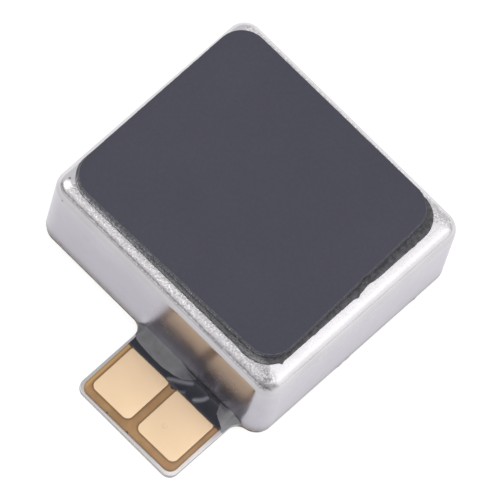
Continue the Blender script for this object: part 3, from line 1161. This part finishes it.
# the glue line round each pad and the cut edge of the film look darker
_pads = film.math("MINIMUM", film.box_distance(_u, _v, *PAD_L[:3], -4.0, 0.20), film.box_distance(_u, _v, *PAD_R[:3], -4.0, 0.20))
_dark = film.step(_pads, 0.085 * MM, 0.025 * MM)
_rim = film.step(film.box_distance(_u, _v, FPC_X0, FPC_X1, FPC_Y, 0.0, FPC_R), -0.065 * MM, -0.015 * MM)
_col = film.mix(film.times(_dark, 0.62), _col, (0.105, 0.052, 0.020))
_col = film.mix(film.times(_rim, 0.50), _col, (0.110, 0.060, 0.026))
_specks = film.math("MAXIMUM", film.spot(_u, _v, 0.945, -6.640, 0.018, 0.045), film.spot(_u, _v, 1.761, -6.650, 0.022, 0.050))
_col = film.mix(_specks, _col, (0.020, 0.014, 0.012))
film.put(Base_Color=_col, Roughness=film.map(_w, 0.3, 0.7, 0.34, 0.46), Coat_Weight=0.15,
         Coat_Roughness=0.25, Normal=film.bump(_w, 0.0010))

glue_film = Mat("glue_film")
glue_film.put(Base_Color=glue_film.mix(glue_film.map(glue_film.noise(0.1, 3), 0.4, 0.6, 0, 1), (0.30, 0.22, 0.12), (0.40, 0.30, 0.18)),
              Roughness=0.6, Normal=glue_film.bump(glue_film.noise(0.04, 2), 0.002))

cover = Mat("coverlay_black")
_f = cover.noise(0.08, 3, 0.6)
_col = cover.mix(cover.map(cover.noise(0.4, 3), 0.35, 0.65, 0, 1), (0.003, 0.004, 0.010), (0.008, 0.009, 0.018))
_x, _y, _z = cover.xyz()
_s = cover.map(cover.value("streak"), 0.10, 1.05, 0, 0.62)
_col = cover.mix(_s, _col, (0.20, 0.205, 0.235))
_slit = cover.step(_y, -4.045 * MM, -4.020 * MM)
_dust = cover.times(cover.step(_y, -4.15 * MM, -4.09 * MM), cover.map(_f, 0.3, 0.7, 0.5, 1.0))
_col = cover.mix(_dust, _col, (0.060, 0.059, 0.066))
cover.put(Base_Color=_col, Roughness=cover.map(_f, 0.3, 0.7, 0.18, 0.28), IOR=1.50,
          Specular_IOR_Level=cover.map(_slit, 0, 1, 0.5, 0.25), Normal=cover.bump(_f, 0.0008))

epoxy = Mat("epoxy_black")
_f = epoxy.noise(0.05, 3, 0.65)
_x, _y, _z = epoxy.xyz()
_col = epoxy.mix(epoxy.map(epoxy.noise(0.35, 4, 0.6), 0.35, 0.65, 0, 1), (0.082, 0.082, 0.090), (0.118, 0.118, 0.128))
_col = epoxy.mix(epoxy.step(_x, 2.6 * MM, 3.2 * MM), _col, epoxy.mix(epoxy.step(_x, 3.35 * MM, 3.58 * MM), (0.112, 0.110, 0.118), (0.188, 0.185, 0.196)))
_toe = epoxy.ramp(epoxy.map(_y, -4.48 * MM, -4.00 * MM, 0, 1), [(0, 1.0), (0.20, 1.0), (0.40, 0.84), (0.80, 0.82), (1.0, 0.92)])
_col = epoxy.mix(1.0, _col, _toe, "MULTIPLY")
epoxy.put(Base_Color=_col,
          Roughness=epoxy.map(_f, 0.3, 0.7, 0.30, 0.42), Coat_Weight=0.15, Coat_Roughness=0.20, IOR=1.50,
          Normal=epoxy.bump(_f, 0.0014))

copper = Mat("copper_winding")
copper.put(Base_Color=copper.mix(copper.map(copper.noise(0.3, 3), 0.35, 0.65, 0, 1), (0.62, 0.24, 0.11), (0.74, 0.32, 0.16)),
           Metallic=0.85, Roughness=0.32, Coat_Weight=0.6, Coat_Roughness=0.12,
           Normal=copper.bump(copper.noise(0.03, 2), 0.001))

solder = Mat("solder")
solder.put(Base_Color=(0.72, 0.73, 0.75), Metallic=1.0, Roughness=solder.map(solder.noise(0.06, 3), 0.3, 0.7, 0.18, 0.34),
           Normal=solder.bump(solder.noise(0.05, 3), 0.003))

rubber = Mat("soft_damper")
_f = rubber.voronoi(0.05)
rubber.put(Base_Color=rubber.mix(rubber.map(rubber.noise(0.3, 3), 0.35, 0.65, 0, 1), (0.016, 0.016, 0.018), (0.028, 0.028, 0.030)),
           Roughness=0.85, Normal=rubber.bump(_f, 0.006))

foam = Mat("foam_grey")
_cell = foam.voronoi(0.045)
_soft = foam.noise(2.6, 3, 0.5)
_fine = foam.noise(0.11, 4, 0.65)
_x, _y, _z = foam.xyz()
_col = foam.mix(foam.map(_soft, 0.3, 0.7, 0, 1), (0.0360, 0.0358, 0.0525), (0.0395, 0.0392, 0.0572))
_col = foam.mix(foam.map(_fine, 0.62, 0.80, 0, 0.25), _col, (0.062, 0.062, 0.080))
# its cut rim catches the light in a thin speckled line; the walls below it are darker
_dots = foam.noise(0.045, 3, 0.6)
_line = foam.times(foam.step(_z, 3.590 * MM, 3.606 * MM), foam.step(_z, 3.6285 * MM, 3.620 * MM))
_col = foam.mix(foam.times(_line, foam.map(_dots, 0.42, 0.60, 0.15, 0.9)), _col, (0.150, 0.148, 0.172))
_low = foam.map(_z, 3.53 * MM, 3.60 * MM, 1, 0)
_front = foam.step(_y, -3.15 * MM, -3.35 * MM)
_pale = foam.times(foam.map(_dots, 0.50, 0.66, 0, 1), foam.map(_front, 0, 1, 0.35, 0.9))
_edge = foam.mix(_pale, foam.mix(_front, (0.031, 0.031, 0.037), (0.052, 0.052, 0.058)), (0.30, 0.30, 0.32))
_col = foam.mix(_low, _col, _edge)
foam.put(Base_Color=_col, Roughness=foam.map(_fine, 0.3, 0.7, 0.62, 0.78), Specular_IOR_Level=0.35,
         Sheen_Weight=0.06, Sheen_Roughness=0.5,
         Normal=foam.bump(_cell, 0.0030, normal=foam.bump(_fine, 0.002)))

under_film = Mat("foam_film")
_f = under_film.noise(0.05, 4, 0.7)
_x, _y, _z = under_film.xyz()
_front = under_film.step(_y, -3.20 * MM, -3.45 * MM)
_dots = under_film.noise(0.045, 3, 0.6)
_col = under_film.mix(under_film.map(under_film.noise(0.12, 3), 0.4, 0.65, 0, 1), (0.029, 0.029, 0.034), (0.074, 0.073, 0.082))
_col = under_film.mix(under_film.map(_dots, 0.66, 0.74, 0, 0.5), _col, (0.30, 0.30, 0.33))
_col = under_film.mix(under_film.times(_front, under_film.map(_dots, 0.38, 0.62, 0.05, 0.95)), _col, (0.30, 0.295, 0.31))
# along the front it is palest by the left corner and dull further right
_across = under_film.ramp(under_film.map(_x, -4 * MM, 4 * MM, 0, 1),
                          [(0.08, 0.50), (0.16, 0.50), (0.27, 0.30), (0.42, 0.20), (0.61, 0.165), (0.79, 0.13), (0.89, 0.19), (0.95, 0.30)])
_across = under_film.mix(1.0, _across, (3.0, 3.0, 3.0), "MULTIPLY")
_col = under_film.mix(_front, _col, under_film.mix(1.0, _col, _across, "MULTIPLY"))
under_film.put(Base_Color=_col, Roughness=under_film.map(_f, 0.3, 0.7, 0.45, 0.75), Normal=under_film.bump(_f, 0.008))

case = own(make_case(), HOUSING, "case_steel", can_steel, "case")
base = own(plate("base_sheet", plate_outline(), [], edge_rows(0.0, PLATE_T - 0.0005, 0.030, 0.022), 0.06, 0.03),
           HOUSING, "plate_steel", plate_steel, "base_plate")
own(plate("circuit_glue", film_outline(FPC_Y, FPC_R), [circle(FPC_HOLE_R, hole=True)],
          [(0.004, Z_GLUE), (0.004, Z_FILM - 0.0004)], 0.06, 0.02, 35.0, turn), HOUSING, "glue_film", glue_film, "fpc_adhesive")
own(plate("circuit_film", film_outline(FPC_Y, FPC_R), [circle(FPC_HOLE_R, hole=True)],
          [(0.0, Z_FILM), (0.0, Z_COPPER - 0.006), (0.0018, Z_COPPER - 0.0018), (0.006, Z_COPPER)], 0.06, 0.02, 35.0, turn),
    HOUSING, "polyimide", film, "fpc_base_film")
own(make_conductor("contact_left", PAD_L, TRACK_L, LAND_L), HOUSING, "gold_plate", gold, "conductor_left")
own(make_conductor("contact_right", PAD_R, TRACK_R, LAND_R), HOUSING, "gold_plate", gold, "conductor_right")
own(make_coverlay(), HOUSING, "coverlay_black", cover, "fpc_coverlay")
own(join("epoxy_beads", [make_bead(True), make_bead(False)], 80.0), HOUSING, "epoxy_black", epoxy, "epoxy_seal")
cushion = own(make_foam(), HOUSING, "foam_grey", foam, "foam_pad")
skin = own(make_foam_film(), HOUSING, "foam_film", under_film, "pad_adhesive")

own(make_coil(), HOUSING, "copper_winding", copper, "voice_coil")
lead_outer, lead_inner = make_leads()
own(lead_outer, HOUSING, "copper_winding", copper, "coil_lead_outer")
own(lead_inner, HOUSING, "copper_winding", copper, "coil_lead_inner")
own(make_solder(), HOUSING, "solder", solder, "solder_joints")
strips = [plate("strip", rect(a, b, -2.0, 2.0, 0.15), [], edge_rows(0.1805, 0.36, 0.02, 0.05), 0.1, 0.03)
          for a, b in ((-4.15, -3.65), (3.65, 4.15))]
own(join("damper_strips", strips), HOUSING, "soft_damper", rubber, "lower_dampers")
own(lathe("damper_disc", soft_corner([(0.0, 3.06), (1.30, 3.06), (1.30, 3.1595), (0.0, 3.1595)], [0, 0.03, 0.008, 0])),
    HOUSING, "soft_damper", rubber, "upper_damper")

own(lathe("yoke", soft_corner([(0.0, 2.22), (2.45, 2.22), (2.45, 0.88), (2.70, 0.88), (2.70, 2.47), (0.0, 2.47)],
                              [0, 0.06, 0.02, 0.02, 0.10, 0]), 180), MOVER, "nickel_plate", nickel, "yoke_cup")
own(lathe("magnet_disc", soft_corner([(0.0, 1.12), (1.50, 1.12), (1.50, 2.2195), (0.0, 2.2195)], [0, 0.05, 0.05, 0]), 144),
    MOVER, "nickel_plate", nickel, "magnet")
own(lathe("pole_disc", soft_corner([(0.0, 0.88), (1.60, 0.88), (1.60, 1.1195), (0.0, 1.1195)], [0, 0.03, 0.03, 0]), 144),
    MOVER, "nickel_plate", nickel, "pole_plate")
own(make_mass(), MOVER, "tungsten", tungsten, "tungsten_mass")
own(lathe("weld_ring", soft_corner([(0.95, 2.5705), (1.30, 2.5705), (1.30, 2.65), (0.95, 2.65)], [0.012] * 4), 120),
    MOVER, "spring_steel", spring_steel, "spring_washer")

leaf = make_spring()
leaf.data.materials.clear()
leaf.data.materials.append(spring_steel.m)
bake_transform(leaf)
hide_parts("leaf_spring")

# ---------------------------------------------------------------- floor, light and camera
bm = bmesh.new()
bmesh.ops.create_grid(bm, x_segments=2, y_segments=2, size=0.6)
me = bpy.data.meshes.new("floor")
bm.to_mesh(me)
bm.free()
floor = bpy.data.objects.new("floor", me)
floor.location.z = -0.00002
scene.collection.objects.link(floor)
white = Mat("floor_white")
white.put(Base_Color=white.mix(white.map(white.noise(3.0, 2), 0.3, 0.7, 0, 1), (0.59, 0.59, 0.59), (0.61, 0.61, 0.61)),
          Roughness=0.9, Specular_IOR_Level=0.1, Emission_Color=(1.0, 1.0, 1.0), Emission_Strength=0.52)
floor.data.materials.append(white.m)

world = bpy.data.worlds.new("studio")
scene.world = world
world.use_nodes = True
wt = world.node_tree
wt.nodes.clear()
w_out = wt.nodes.new("ShaderNodeOutputWorld")
w_bg = wt.nodes.new("ShaderNodeBackground")
w_bg.inputs[0].default_value = (1.0, 0.995, 1.0, 1.0)
w_bg.inputs[1].default_value = 0.93
wt.links.new(w_bg.outputs[0], w_out.inputs[0])


def softbox(name, azimuth, elevation, distance, size, power, colour=(1, 1, 1)):
    """Area light over the part. Azimuth is measured from +X towards +Y."""
    data = bpy.data.lights.new(name, "AREA")
    data.shape = "RECTANGLE"
    data.size, data.size_y = size
    data.energy = power
    data.color = colour
    ob = bpy.data.objects.new(name, data)
    a, e = math.radians(azimuth), math.radians(elevation)
    ob.location = Vector((math.cos(a) * math.cos(e), math.sin(a) * math.cos(e), math.sin(e))) * distance
    ob.rotation_euler = (-ob.location).to_track_quat("-Z", "Y").to_euler()
    scene.collection.objects.link(ob)
    return ob


softbox("key", 30, 52, 0.30, (0.24, 0.50), 0.38)
softbox("fill", 250, 52, 0.32, (0.42, 0.32), 0.25)
softbox("corner", 200, 50, 0.32, (0.10, 0.10), 0.05)

cam_data = bpy.data.cameras.new("camera")
cam_data.sensor_width = 36.0
cam_data.lens = 720.0
cam_data.clip_start = 0.01
cam_data.clip_end = 10.0
cam_data.dof.use_dof = False
cam = bpy.data.objects.new("camera", cam_data)
right = Vector((0.69975038, 0.70397212, 0.12154283))
up = Vector((-0.68837267, 0.61894327, 0.37822254))
back = Vector((0.19103001, -0.34832813, 0.91770096))
place = Matrix((right, up, back)).transposed().to_4x4()
place.translation = Vector((55.3123, -100.4561, 264.8503)) * MM
cam.matrix_world = place
scene.collection.objects.link(cam)
scene.camera = cam
scene.view_settings.view_transform = "Standard"
scene.view_settings.look = "None"
